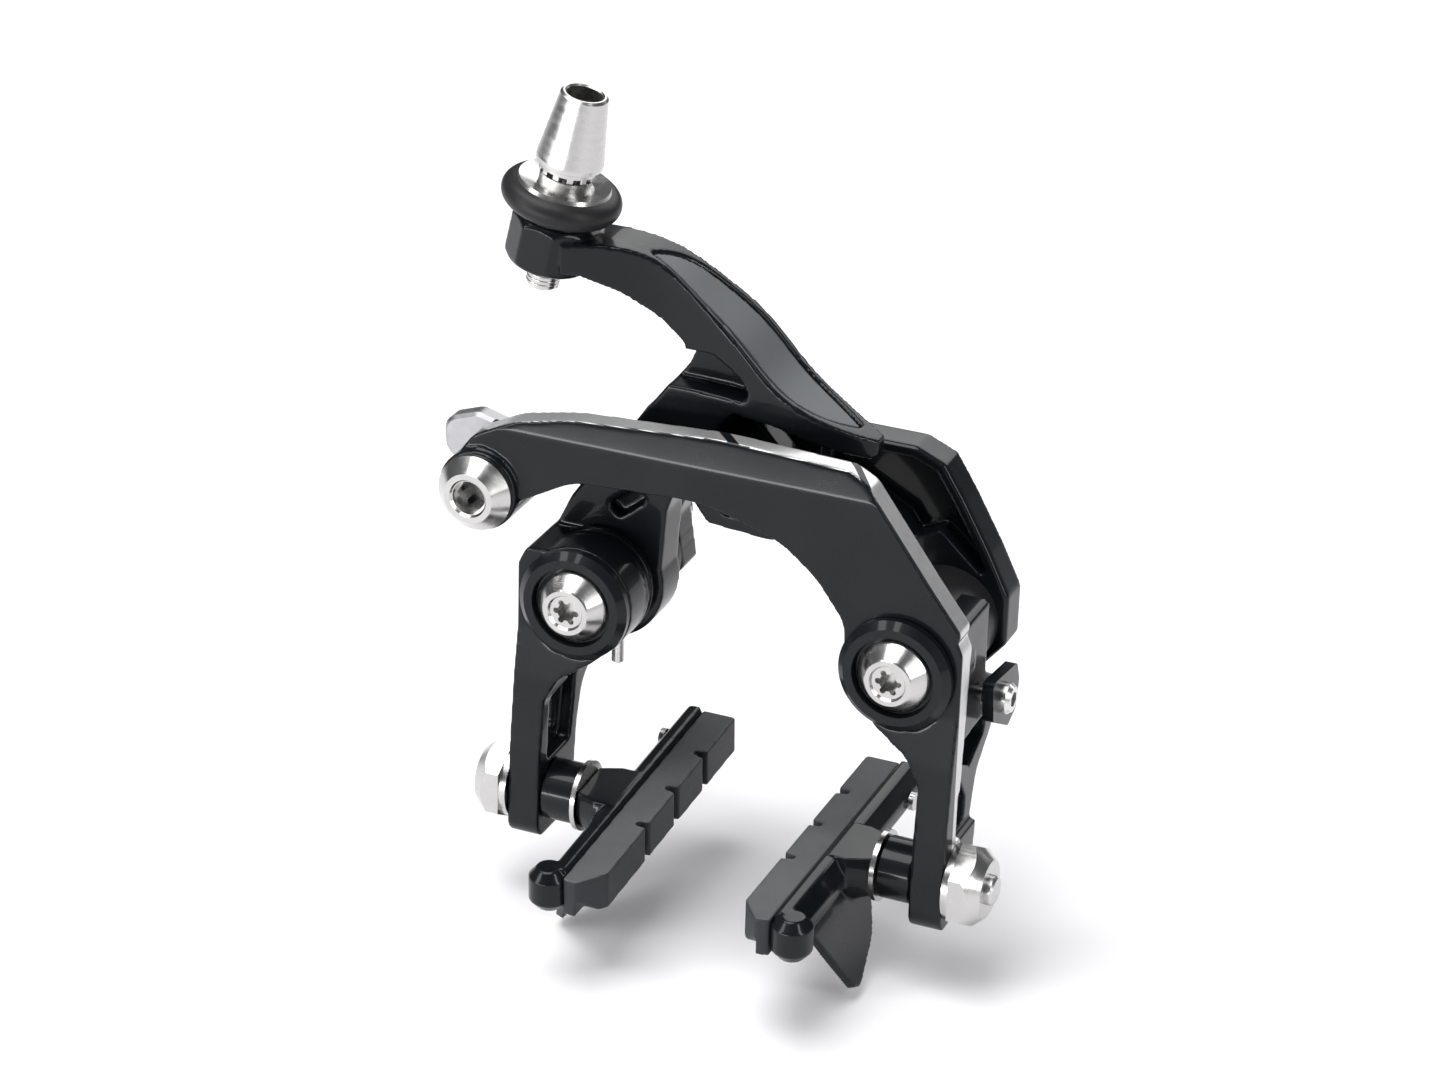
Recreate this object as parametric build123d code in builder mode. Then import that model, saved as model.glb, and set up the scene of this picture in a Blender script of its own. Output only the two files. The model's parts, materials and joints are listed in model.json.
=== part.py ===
from build123d import *

import os
from math import cos, radians, sin

# Direct-mount dual-pivot rim brake caliper, in millimetres.
# Origin: midway between the two mounting bolts, on the rear mounting face.
# +X is to the right seen from the front, +Y points back into the fork, +Z is up.

# ---- mounting -----------------------------------------------------------------------
bolt_spacing = 56.0        # between the two mounting bolts
stud_radius = 3.0          # M6 thread
shank_radius = 2.8         # reduced shank between the head and the thread
stud_reach = 11.0          # thread that stands out behind the mounting face
shank_gap = 0.10           # radial room round a bolt's thread in a clamped piece
face_gap = 0.30            # room between faces that move past each other
running_gap = 0.03         # radial clearance of a turning or sliding fit

# ---- depths along Y -----------------------------------------------------------------
arch_back = -1.5           # rear face of the arch, in front of the rear spacers
arch_depth = 6.5
sleeve_front = -31.0       # front end of both pivot sleeves
washer_web = 0.9           # web of a dust ring, under the bolt head
beam_depth = 9.6           # front beam, front to back
stop_front = -20.4         # front face of the stop arm's leg
leg_depth = 7.2            # stop arm's leg round its hub

# ---- pivots -------------------------------------------------------------------------
sleeve_radius = 4.5
bush_wall = 1.1
eye_radius = 9.7           # front eye of either arm
leg_eye_radius = 10.8      # rear eye of the stop arm
dust_ring_radius = 9.6
dust_ring_rim = 1.3        # how far the rim stands in front of the web
head_radius = 6.2
head_height = 3.4
cover_radius = 8.8         # spring covers
cover_wall = 1.0
spring_wire = 1.1

# ---- front (anchor) arm -------------------------------------------------------------
anchor_x, anchor_z = -45.4, 17.0
anchor_eye_radius = 6.9
anchor_bolt_radius = 2.5
anchor_flange_radius = 6.5
anchor_eye_rise = 1.6      # how far the cable eye stands in front of the beam
plate_depth = 5.0          # front plate of the front arm, the part with the bright edge
beam_top = 33.3            # highest line of the front beam
ridge_z = 28.0             # height of the crease along its front
slot_height = 20.0         # slot and roller, above the pivots
roller_radius = 2.5
roller_pin_radius = 1.3
arm_swing = 6.0            # degrees that each arm closes

# ---- rear (stop) arm ----------------------------------------------------------------
barrel_x, barrel_y, barrel_z = -38.2, -20.0, 57.7
barrel_tilt = 12.0         # degrees, top leaning to +X
boss_radius = 7.2          # across the corners of the octagonal boss
boss_low, boss_high = -3.7, 4.8
barrel_radius = 2.6        # threaded stub in the boss
barrel_bore = 2.95         # housing ferrule socket
stub_length = 4.4
nut_height = 6.2
nut_radius = 7.8
grip_thickness = 2.2       # rubber ring's cross-section radius
cone_gap = 2.6
cone_height = 12.6
cone_base_radius = 5.5
cone_top_radius = 3.8
inlay_recess = 1.3
inlay_thickness = 0.9
inlay_edge = 1.7           # rim of arm left round the inlay
inlay_gap = 0.25

# ---- lower arms and pads ------------------------------------------------------------
arm_foot = -44.5           # lowest point of the lower arms
rail_depth = 5.2           # front rail of a lower arm, behind which it steps in
pad_bolt_y, pad_bolt_z = -28.7, -36.6
pad_bolt_radius = 2.5
pad_travel = 2.5           # height adjustment each way
pad_face = 12.0            # |X| of the braking face
insert_thickness = 6.0
pad_front, pad_back = -57.0, 1.0
nose_length = 4.8          # slanted nose of the insert
pad_top, pad_bottom = -34.3, -40.9
holder_thickness = 4.4
spacer_radius = 5.2
pad_tilt = {"left": 3.3, "right": 0.0}    # degrees, rear end up, as each pad is set
pad_nut_height = 6.2
pad_nut_radius = 7.4       # across the corners
fin_low = -55.8            # tip of the wheel guide under each pad
fin_lean = 22.0            # degrees, tip leaning outwards
washer_thickness = 0.8
bracket_y, bracket_z = -15.0, -9.0
bracket_screw_radius = 1.4
tension_screw_radius = 1.1
tension_screw_low = -16.2

pivot_x = bolt_spacing / 2
arm_inner = pivot_x + 5.0  # |X| of a lower arm's inner face
arm_outer = arm_inner + 5.6
tension_screw_x = 2.0 - pivot_x
tension_screw_y = stop_front + 2.4
arch_front = arch_back - arch_depth
hub_front = sleeve_front + face_gap
anchor_seat = hub_front - anchor_eye_rise
head_seat = sleeve_front - washer_web
bush_radius = sleeve_radius + running_gap + bush_wall
right_hub_back = hub_front + 12.0
left_hub_back = stop_front + leg_depth
barrel_dir = (sin(radians(barrel_tilt)), 0, cos(radians(barrel_tilt)))
barrel_plane = Plane(
    origin=(barrel_x, barrel_y, barrel_z),
    x_dir=(cos(radians(barrel_tilt)), 0, -sin(radians(barrel_tilt))),
    z_dir=(0, -1, 0),
)
nut_base = boss_high + face_gap
cone_base = nut_base + nut_height + cone_gap

os.makedirs("parts", exist_ok=True)


def save(name, part):
    """Label a finished piece and write it to its own file."""
    part.label = name
    export_step(part, f"parts/{name}.step")


def front_plane(y):
    """Plane across Y at the given depth; it faces the front."""
    return Plane.XZ.offset(-y)


def outline(plane, points, radii=0.0):
    """Closed straight-sided outline with rounded corners."""
    with BuildSketch(plane) as sketch:
        with BuildLine():
            FilletPolyline(*points, radius=radii, close=True)
        make_face()
    return sketch.sketch


def slab(points, front, back, radii=0.0):
    """Front-view outline (X, Z), solid from its front depth to its back depth."""
    face = outline(front_plane(back), points, radii)
    return extrude(face, amount=back - front, mode=Mode.PRIVATE)


def side_slab(points, low_x, high_x, radii=0.0):
    """Side-view outline (Y, Z), solid from low X to high X."""
    face = outline(Plane.YZ.offset(low_x), points, radii)
    return extrude(face, amount=high_x - low_x, mode=Mode.PRIVATE)


def disc(x, z, radius, front, back):
    """Round boss or bore along Y."""
    with BuildSketch(front_plane(back)) as sketch:
        with Locations((x, z)):
            Circle(radius)
    return extrude(sketch.sketch, amount=back - front, mode=Mode.PRIVATE)


def side_disc(y, z, radius):
    """Long bore along X, from the middle plane out past the right arm."""
    with BuildSketch(Plane.YZ) as sketch:
        with Locations((y, z)):
            Circle(radius)
    return extrude(sketch.sketch, amount=arm_outer + 10, mode=Mode.PRIVATE)


def turned(plane, profile):
    """Turned piece: (radius, height) points, turned about the plane's own Y line."""
    with BuildSketch(plane) as sketch:
        with BuildLine():
            Polyline(*profile, close=True)
        make_face()
    return revolve(sketch.sketch, axis=Axis(plane.origin, plane.y_dir), mode=Mode.PRIVATE)


def along_y(x, z):
    """Plane for turned pieces whose axis runs along Y through (x, z)."""
    return Plane(origin=(x, 0, z))


def along_x(y, z):
    """Plane for turned pieces whose axis runs along X through (y, z)."""
    return Plane(origin=(0, y, z), x_dir=(0, 0, 1), z_dir=(0, 1, 0))


def for_side(side, part):
    """A piece drawn for the right side (+1), or its mirror image for the left (-1)."""
    return part if side > 0 else mirror(part, about=Plane.YZ, mode=Mode.PRIVATE)


# ---- rear arch and what is bolted with it -------------------------------------------
def arch_half():
    """Right half of the arch's outline, from the top down round the foot to the crown."""
    return [
        (21.0, 28.4), (26.2, 26.2), (29.8, 20.6), (34.6, 12.2), (38.2, 5.0), (38.2, -3.5),
        (33.0, -9.8), (25.5, -10.0), (19.0, -2.0), (20.4, 7.0), (18.0, 13.5), (9.5, 17.8),
    ]


def make_rear_arch():
    right = arch_half()
    outer = right + [(-x, z) for x, z in reversed(right)]
    pocket = [
        (5.0, 26.4), (20.4, 26.6), (24.8, 24.8), (28.2, 19.6), (33.0, 11.4), (35.0, 7.2),
        (32.6, 8.6), (26.0, 14.6), (21.6, 12.6), (19.6, 15.4), (10.4, 20.2), (5.0, 20.4),
    ]
    pocket_depth = 4.2
    foot_hole = 2.2
    with BuildPart() as rear_arch:
        add(slab(outer, arch_front, arch_back, 1.2))
        chamfer(rear_arch.faces().sort_by(Axis.Y)[0].edges(), 0.5)
        for side in (-1, 1):
            with Locations(front_plane(arch_back).location * Pos(side * pivot_x, 0, 0)):
                Hole(stud_radius + shank_gap)
            mirrored = [(side * x, z) for x, z in pocket]
            add(slab(mirrored, arch_front - 1, arch_front + pocket_depth, 0.7), mode=Mode.SUBTRACT)
            with BuildSketch(front_plane(arch_back + 1)):
                with Locations(Location((side * 21.4, 3.4), side * 80)):
                    SlotOverall(6.4, foot_hole)
            extrude(amount=arch_depth + 2, mode=Mode.SUBTRACT)
    save("rear_arch", rear_arch.part)


def make_pivot_hardware(side, name, hub_back):
    x = side * pivot_x
    plane = along_y(x, 0)
    head_front = head_seat - head_height

    with BuildPart() as bolt:
        add(turned(plane, [
            (0, stud_reach), (stud_radius - 0.6, stud_reach), (stud_radius, stud_reach - 0.6),
            (stud_radius, 0), (shank_radius, -0.2), (shank_radius, head_seat),
            (head_radius, head_seat), (head_radius, head_seat - 0.7),
            (4.15, head_front + 0.25), (3.9, head_front), (3.1, head_front),
            (2.8, head_front + 0.45), (0, head_front + 0.45),
        ]))
        with BuildSketch(front_plane(head_front)):
            with Locations((x, 0)):
                RegularPolygon(1.75, 6)
                with PolarLocations(1.75, 6):
                    Circle(0.5)
        extrude(amount=-2.6, mode=Mode.SUBTRACT)
    save(f"mounting_bolt_{name}", bolt.part)

    with BuildPart() as ring:
        front = head_seat - dust_ring_rim
        rim_inner = head_radius + 0.75
        bevel = 0.45 * (dust_ring_radius - rim_inner)
        add(turned(plane, [
            (stud_radius + shank_gap, sleeve_front), (dust_ring_radius, sleeve_front),
            (dust_ring_radius, front + 1.1), (dust_ring_radius - bevel, front),
            (rim_inner, front), (rim_inner - 0.3, head_seat),
            (stud_radius + shank_gap, head_seat),
        ]))
    save(f"dust_ring_{name}", ring.part)

    with BuildPart() as sleeve:
        add(disc(x, 0, sleeve_radius, sleeve_front, arch_front))
        add(disc(x, 0, stud_radius + shank_gap, sleeve_front, arch_front), mode=Mode.SUBTRACT)
    save(f"pivot_sleeve_{name}", sleeve.part)

    with BuildPart() as spacer:
        add(disc(x, 0, 7.0, arch_back, 0))
        add(disc(x, 0, stud_radius + shank_gap, arch_back, 0), mode=Mode.SUBTRACT)
        chamfer(spacer.edges().filter_by(GeomType.CIRCLE).sort_by(SortBy.RADIUS)[-2:], 0.35)
    save(f"rear_spacer_{name}", spacer.part)

    cover_front = hub_back + face_gap
    with BuildPart() as cover:
        add(turned(plane, [
            (sleeve_radius + 0.05, arch_front), (cover_radius, arch_front),
            (cover_radius, cover_front + 0.5), (cover_radius - 0.5, cover_front),
            (cover_radius - cover_wall, cover_front),
            (cover_radius - cover_wall, arch_front - cover_wall),
            (sleeve_radius + 0.05, arch_front - cover_wall),
        ]))
    save(f"spring_cover_{name}", cover.part)

    coil_radius = (sleeve_radius + cover_radius - cover_wall) / 2
    coil_length = arch_front - cover_wall - cover_front - 0.8 - spring_wire
    turns = 2 if side < 0 else 4
    with BuildPart() as spring:
        path = Helix(pitch=coil_length / turns, height=coil_length, radius=coil_radius)
        path = Location((x, cover_front + 0.4 + spring_wire / 2, 0), (-90, 0, 0)) * path
        with BuildSketch(Plane(origin=path @ 0, z_dir=path % 0)):
            Circle(spring_wire / 2)
        sweep(path=path, is_frenet=True)
    save(f"return_spring_{name}", spring.part)

    with BuildPart() as bush:
        add(disc(x, 0, bush_radius, hub_front, hub_back))
        add(disc(x, 0, sleeve_radius + running_gap, hub_front, hub_back), mode=Mode.SUBTRACT)
    save(f"arm_bush_{name}", bush.part)


# ---- lower arms, shared by both levers ----------------------------------------------
def lower_arm(side, eye_back):
    """Lower lever from the pivot down to the pad bolt, with its truss windows."""
    front_view = [
        (28.0, 8.0), (arm_outer - 1.4, 8.0), (arm_outer, 5.0), (arm_outer, arm_foot),
        (arm_inner, arm_foot), (arm_inner, -19.0), (30.6, -14.4), (25.0, -10.4), (20.0, -6.0),
    ]
    side_view = [
        (hub_front, 9.0), (hub_front, -6.0), (-32.2, -15.0), (-33.6, -28.0), (-34.2, arm_foot),
        (-22.4, arm_foot), (-19.6, -38.0), (-18.6, -29.0), (-16.6, -22.5), (-9.6, -16.5),
        (-8.9, -8.5), (-15.0, -5.0), (-15.0, 9.0),
    ]
    arm = slab(front_view, -40, 0, [1.5, 1.5, 2.0, 0.8, 0.8, 4.0, 3.6, 3.6, 2.0])
    arm &= side_slab(side_view, 0, arm_outer, [1, 4, 8, 8, 3.5, 3.5, 6, 8, 5, 2, 2, 2, 1])
    arm -= disc(pivot_x, 0, cover_radius + face_gap, eye_back, 0)
    arm -= disc(pivot_x, 0, dust_ring_radius + face_gap, -60, hub_front)
    step = 1.1
    rail_back = hub_front + rail_depth
    arm -= side_slab([(rail_back, 9.0), (rail_back - 2.6, -30.0), (-5.0, -30.0), (-5.0, 9.0)],
                     arm_outer - step, arm_outer + 1)
    pocket = [(-29.6, -19.5), (-19.5, -17.8), (-21.6, -30.6), (-30.4, -30.8)]
    arm -= side_slab(pocket, arm_inner - 9, arm_inner + 2.6, 1.2)
    upper = [(-25.6, -13.4), (-13.6, -13.2), (-14.2, -16.4), (-20.6, -19.6), (-25.2, -17.0)]
    lower = [(-28.4, -20.6), (-24.6, -20.6), (-21.8, -24.6), (-22.0, -28.6), (-28.4, -29.4)]
    for window in (upper, lower):
        arm -= side_slab(window, 0, arm_outer + 1, 1.0)
    slot = pad_travel + pad_bolt_radius + running_gap
    half = pad_bolt_radius + running_gap
    slot_view = [
        (pad_bolt_y - half, pad_bolt_z - slot), (pad_bolt_y + half, pad_bolt_z - slot),
        (pad_bolt_y + half, pad_bolt_z + slot), (pad_bolt_y - half, pad_bolt_z + slot),
    ]
    arm -= side_slab(slot_view, 0, arm_outer + 1, half - 0.01)
    return for_side(side, arm)


def hub_bore(part, x, back):
    """The arm with its bore opened for the bush."""
    return part - disc(x, 0, bush_radius, -40, back + 1)


# ---- front arm ----------------------------------------------------------------------
def slot_path(angle):
    """Place of the roller in the front arm's own frame when both arms turn by angle."""
    a = radians(angle)
    x = pivot_x - 2 * pivot_x * cos(a) + pivot_x * cos(2 * a) - slot_height * sin(2 * a)
    z = 2 * pivot_x * sin(a) * (cos(a) - 1) + slot_height * cos(2 * a)
    return (x, z)


beam_low = [
    (36.0, 0.0), (28.0, -9.0), (19.0, -1.0), (18.4, 6.6), (13.5, 13.2), (7.0, 18.4),
    (-7.0, 22.4), (-29.0, 21.2), (-38.6, 15.8), (-45.4, 10.2),
]
beam_low_corner = [3, 4, 2, 6, 12, 14, 30, 12, 5, 4]


def front_beam():
    """Front plate, from the cable eye along the beam and round the bend to the pivot."""
    view = [
        (-51.5, 13.5), (-50.6, 21.0), (-47.0, 26.0), (-40.0, 29.6), (-30.0, 31.7),
        (-4.0, beam_top), (18.0, 32.5), (21.6, 30.6), (32.6, 15.8), (38.2, 8.6),
    ] + beam_low
    corner = [4, 4, 5, 12, 40, 60, 3, 2, 30, 1.5] + beam_low_corner
    beam = slab(view, hub_front, hub_front + plate_depth, corner)
    front = hub_front
    crease = [
        (0.0, 60.0), (front + 1.9, 60.0), (front + 1.5, 34.0), (front, ridge_z), (front, -12.0),
        (0.0, -12.0),
    ]
    return beam & side_slab(crease, -60, 45, 0.2)


def beam_core():
    """Deeper part of the front arm behind the plate, lower than the plate's edge."""
    view = [
        (-51.0, 13.5), (-50.0, 20.5), (-46.0, 24.0), (-38.0, 26.2), (-4.0, 29.6), (16.6, 29.0),
        (28.4, 14.0), (34.4, 5.0),
    ] + beam_low
    corner = [4, 4, 5, 12, 60, 4, 20, 3] + beam_low_corner
    return slab(view, hub_front + 1.0, hub_front + beam_depth, corner)


def make_anchor_arm():
    beam_back = hub_front + beam_depth
    lug = [
        (-10.6, 26.0), (-11.6, 18.0), (-9.0, 14.6), (1.8, 13.8), (8.0, 15.4), (12.0, 22.0),
        (12.0, 26.0),
    ]
    with BuildPart() as anchor_arm:
        add(front_beam())
        add(beam_core())
        add(disc(anchor_x, anchor_z, anchor_eye_radius, anchor_seat, beam_back))
        add(disc(pivot_x, 0, eye_radius, hub_front, beam_back))
        add(disc(pivot_x, 0, cover_radius, hub_front, right_hub_back))
        add(lower_arm(1, right_hub_back))
        add(slab(lug, beam_back - 1, beam_back + 5.0, 1.5))
        with BuildSketch(front_plane(beam_back + 6)):
            with BuildLine() as track:
                Spline(*[slot_path(a) for a in (-0.6, 1.5, 3.0, 4.5, arm_swing + 0.6)])
            trace(track.line, 2 * (roller_radius + face_gap))
            with Locations(track.line @ 0, track.line @ 1):
                Circle(roller_radius + face_gap)
        extrude(amount=8, mode=Mode.SUBTRACT)
        add(disc(anchor_x, anchor_z, anchor_bolt_radius + running_gap, -40, 0), mode=Mode.SUBTRACT)
        bracket_hole = side_disc(bracket_y, bracket_z, bracket_screw_radius + running_gap)
        add(bracket_hole, mode=Mode.SUBTRACT)
    save("anchor_arm", hub_bore(anchor_arm.part, pivot_x, right_hub_back))


def make_cable_anchor():
    plane = along_y(anchor_x, anchor_z)
    eye_back = hub_front + beam_depth
    clamp_front = eye_back + 1.3
    clamp_depth = 3.0
    nut_front = clamp_front + clamp_depth
    nut_depth = 4.0
    seat = anchor_seat
    with BuildPart() as bolt:
        add(turned(plane, [
            (0, nut_front + nut_depth + 0.6), (anchor_bolt_radius - 0.4, nut_front + nut_depth + 0.6),
            (anchor_bolt_radius, nut_front + nut_depth + 0.2), (anchor_bolt_radius, seat),
            (anchor_flange_radius, seat), (anchor_flange_radius, seat - 0.8),
            (4.3, seat - 3.3), (3.3, seat - 3.3), (3.0, seat - 2.9), (0, seat - 2.9),
        ]))
        with BuildSketch(front_plane(seat - 3.4)):
            with Locations((anchor_x, anchor_z)):
                Circle(2.9)
        extrude(amount=-2.0, mode=Mode.SUBTRACT)
        with BuildSketch(front_plane(seat - 1.6)):
            with Locations((anchor_x, anchor_z)):
                RegularPolygon(2.75, 6)
        extrude(amount=-3.2, mode=Mode.SUBTRACT)
    save("cable_anchor_bolt", bolt.part)

    plate = [(-57.2, 16.6), (-57.6, 22.6), (-51.4, 24.8), (-42.4, 22.4), (-40.4, 15.8),
             (-43.6, 11.8), (-50.6, 13.6)]
    with BuildPart() as clamp:
        add(slab(plate, clamp_front, clamp_front + clamp_depth, 2.8))
        chamfer(clamp.faces().sort_by(Axis.Y)[0].edges(), 0.6)
        add(disc(anchor_x, anchor_z, anchor_bolt_radius + shank_gap, -40, 0), mode=Mode.SUBTRACT)
        with BuildSketch(Plane(origin=(anchor_x - anchor_bolt_radius - 1.2, clamp_front, anchor_z),
                               z_dir=barrel_dir)):
            Circle(0.9)
        extrude(amount=20, both=True, mode=Mode.SUBTRACT)
    save("cable_clamp_plate", clamp.part)

    with BuildPart() as nut:
        with BuildSketch(front_plane(nut_front + nut_depth)):
            with Locations((anchor_x, anchor_z)):
                RegularPolygon(4.6, 6)
        extrude(amount=nut_depth)
        chamfer(nut.faces().sort_by(Axis.Y)[-1].edges(), 0.5)
        add(disc(anchor_x, anchor_z, anchor_bolt_radius + running_gap, -40, 0), mode=Mode.SUBTRACT)
    save("cable_anchor_nut", nut.part)


# ---- stop arm -----------------------------------------------------------------------
ridge = [
    (-34.0, barrel_z + 1.9), (-26.4, barrel_z + 2.0), (-19.3, barrel_z - 0.1), (-12.2, 52.0),
    (-5.0, 45.6), (2.2, 38.8), (10.0, 34.8), (17.4, 31.8),
]
leaf_front = [(-34.0, -26.0), (-28.0, -23.6), (-20.0, -20.8), (-8.0, stop_front),
              (6.0, stop_front), (17.4, -15.4)]
leaf_back = [(17.4, -12.6), (9.0, -9.4), (-1.0, -6.4), (-10.0, -7.4), (-19.0, -11.6),
             (-27.0, -13.6), (-34.0, -14.0)]


def band(depth, lift):
    """Layer that follows the ridge line, from lift above it down to depth below it."""
    upper = [(x, z + lift) for x, z in ridge]
    lower = [(x, z - depth) for x, z in ridge]
    with BuildSketch(front_plane(0)) as sketch:
        with BuildLine():
            Spline(*upper)
            Line(upper[-1], lower[-1])
            Spline(*reversed(lower))
            Line(lower[0], upper[0])
        make_face()
    return extrude(sketch.sketch, amount=40, mode=Mode.PRIVATE)


def upright(front_edge, back_edge):
    """Upright prism between a front edge and a back edge that are seen from above."""
    with BuildSketch() as sketch:
        with BuildLine():
            Spline(*front_edge)
            Line(front_edge[-1], back_edge[0])
            Spline(*back_edge)
            Line(back_edge[-1], front_edge[0])
        make_face()
    return extrude(sketch.sketch, amount=80, mode=Mode.PRIVATE)


def inlay_plan(rim):
    """Leaf of the inlay: the stop arm's plan drawn in by the rim."""
    near = [(x, y + rim) for x, y in leaf_front[2:5]]
    far = [(x, y - rim) for x, y in leaf_back[1:4]]
    left = (leaf_front[2][0] - 3.0 + rim, leaf_front[2][1] + 1.2 * rim)
    right = (leaf_front[-1][0] - 2.0 * rim, (leaf_front[-1][1] + leaf_back[0][1]) / 2)
    near[0] = (near[0][0] + 3.0, near[0][1] - 0.2)
    left_end = [(left[0], left[1] - 0.25), (left[0], left[1] + 0.25)]
    right_end = [(right[0], right[1] - 0.25), (right[0], right[1] + 0.25)]
    return upright([left_end[0], *near, right_end[0]], [right_end[1], *far, left_end[1]])


def stop_beam():
    view = [
        (-36.0, barrel_z - 2.9), (-31.0, barrel_z - 3.3), (-25.0, barrel_z - 5.8),
        (-19.0, 48.2), (-14.8, 44.6), (-13.9, 41.8),
        (-15.6, 39.0), (-10.0, 34.6), (2.0, 33.0), (12.0, 30.0), (17.4, 28.4), (17.4, 36.0),
        (10.0, 42.0), (-10.0, barrel_z + 4.3), (-22.0, barrel_z + 8.3), (-36.0, barrel_z + 8.3),
    ]
    corner = [1, 1, 12, 12, 2.5, 2, 2, 3, 10, 6, 1, 1, 1, 1, 1, 1]
    beam = slab(view, -40, 0, corner) & upright(leaf_front, leaf_back)
    under_ridge = band(30, 0)
    return beam & under_ridge


def boss():
    """Octagonal boss for the adjuster, with its edges taken off."""
    base = Plane(origin=barrel_plane.from_local_coords((0, boss_low, 0)),
                 x_dir=barrel_plane.x_dir, z_dir=barrel_dir)
    with BuildSketch(base) as sketch:
        RegularPolygon(boss_radius, 8, rotation=22.5)
    block = extrude(sketch.sketch, amount=boss_high - boss_low, mode=Mode.PRIVATE)
    taper = turned(barrel_plane, [
        (0, boss_low), (boss_radius - 0.9, boss_low), (boss_radius + 0.3, boss_low + 1.2),
        (boss_radius + 0.3, boss_high - 1.2), (boss_radius - 1.1, boss_high), (0, boss_high),
    ])
    return block & taper


def make_stop_arm():
    leg_view = [
        (-13.8, 43.0), (-15.4, 39.2), (-22.2, 30.0), (-29.0, 21.0), (-34.0, 13.5), (-38.4, 4.0),
        (-28.0, -8.0), (-18.0, -2.0), (-17.0, 14.0), (-13.6, 24.0), (-6.0, 34.0), (2.0, 37.0),
    ]
    leg_side = [
        (stop_front, -12.0), (stop_front, 46.0), (-9.8, 46.0), (-10.6, 24.0),
        (left_hub_back, 13.0), (left_hub_back, -12.0),
    ]
    leg = slab(leg_view, -40, 0, [2, 2, 20, 20, 6, 5, 4, 4, 6, 8, 6, 2])
    leg &= side_slab(leg_side, -60, 20, [0.5, 0.5, 2, 8, 4, 0.5])
    ear_back = -10.6
    ear_front = hub_front + beam_depth + 5.0 + face_gap
    ear = slab([(-22.0, 24.0), (-20.0, 33.0), (-8.0, 36.0), (5.2, 22.6), (3.4, 15.8), (-3.0, 15.0)],
               ear_front, ear_back, [3, 3, 3, 4.5, 4.5, 4])
    rings = disc(-pivot_x, 0, eye_radius - 1.0, hub_front, stop_front + 1)
    for start in (hub_front + 6.7, hub_front + 8.4):
        rings += disc(-pivot_x, 0, eye_radius, start, start + 1.0)
    window = [(-27.4, 13.6), (-22.6, 17.6), (-20.4, 15.4), (-25.2, 11.4)]
    pocket = [(-9.6, 43.4), (-19.0, 43.4), (-19.0, 36.8), (-12.6, 36.8), (-2.4, 36.2), (-4.6, 40.2)]
    with BuildPart() as stop_arm:
        add(stop_beam())
        add(boss())
        add(leg)
        add(ear)
        add(disc(-pivot_x, 0, leg_eye_radius, stop_front, left_hub_back))
        add(disc(-pivot_x, 0, eye_radius, hub_front, hub_front + 6.0))
        add(rings)
        add(lower_arm(-1, left_hub_back))
        add(slab(window, stop_front - 1, stop_front + 2.2, 0.9), mode=Mode.SUBTRACT)
        add(slab(pocket, stop_front - 1, stop_front + 4.5, 1.2), mode=Mode.SUBTRACT)
        add(band(inlay_recess, 3) & inlay_plan(inlay_edge), mode=Mode.SUBTRACT)
        add(turned(barrel_plane, [(0, 2 * boss_low), (barrel_radius + running_gap, 2 * boss_low),
                                  (barrel_radius + running_gap, 2 * boss_high),
                                  (0, 2 * boss_high)]), mode=Mode.SUBTRACT)
        add(disc(0, slot_height, roller_pin_radius, -40, -9), mode=Mode.SUBTRACT)
        with Locations((tension_screw_x, tension_screw_y, 2.4 - leg_eye_radius)):
            Cylinder(tension_screw_radius, 12, align=(Align.CENTER, Align.CENTER, Align.MAX),
                     mode=Mode.SUBTRACT)
    save("stop_arm", hub_bore(stop_arm.part, -pivot_x, left_hub_back))

    lift = inlay_thickness - inlay_recess
    save("arm_inlay_panel", band(inlay_recess, lift) & inlay_plan(inlay_edge + inlay_gap))


def make_tension_screw():
    """Spring tension screw, up into the rear eye of the stop arm."""
    axis = Plane(origin=(tension_screw_x, tension_screw_y, 0), x_dir=(1, 0, 0), z_dir=(0, -1, 0))
    radius = tension_screw_radius
    top = -leg_eye_radius + 2.4
    with BuildPart() as screw:
        add(turned(axis, [
            (0, tension_screw_low + 0.8), (radius * 0.55, tension_screw_low + 0.8),
            (radius * 0.55, tension_screw_low), (radius - 0.25, tension_screw_low),
            (radius, tension_screw_low + 0.25), (radius, top), (0, top),
        ]))
    save("tension_screw_left", screw.part)


def make_sync_roller():
    slot_front = hub_front + beam_depth + face_gap
    slot_back = hub_front + beam_depth + 5.0
    with BuildPart() as pin:
        add(disc(0, slot_height, roller_pin_radius, slot_front + 0.2, -10.6))
        add(disc(0, slot_height, roller_pin_radius + 0.6, slot_front + 0.2, slot_front + 0.9))
    save("sync_roller_pin", pin.part)

    with BuildPart() as roller:
        add(disc(0, slot_height, roller_radius, slot_front + 1.0, slot_back))
        add(disc(0, slot_height, roller_pin_radius + running_gap, -40, 0), mode=Mode.SUBTRACT)
    save("sync_roller", roller.part)


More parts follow.
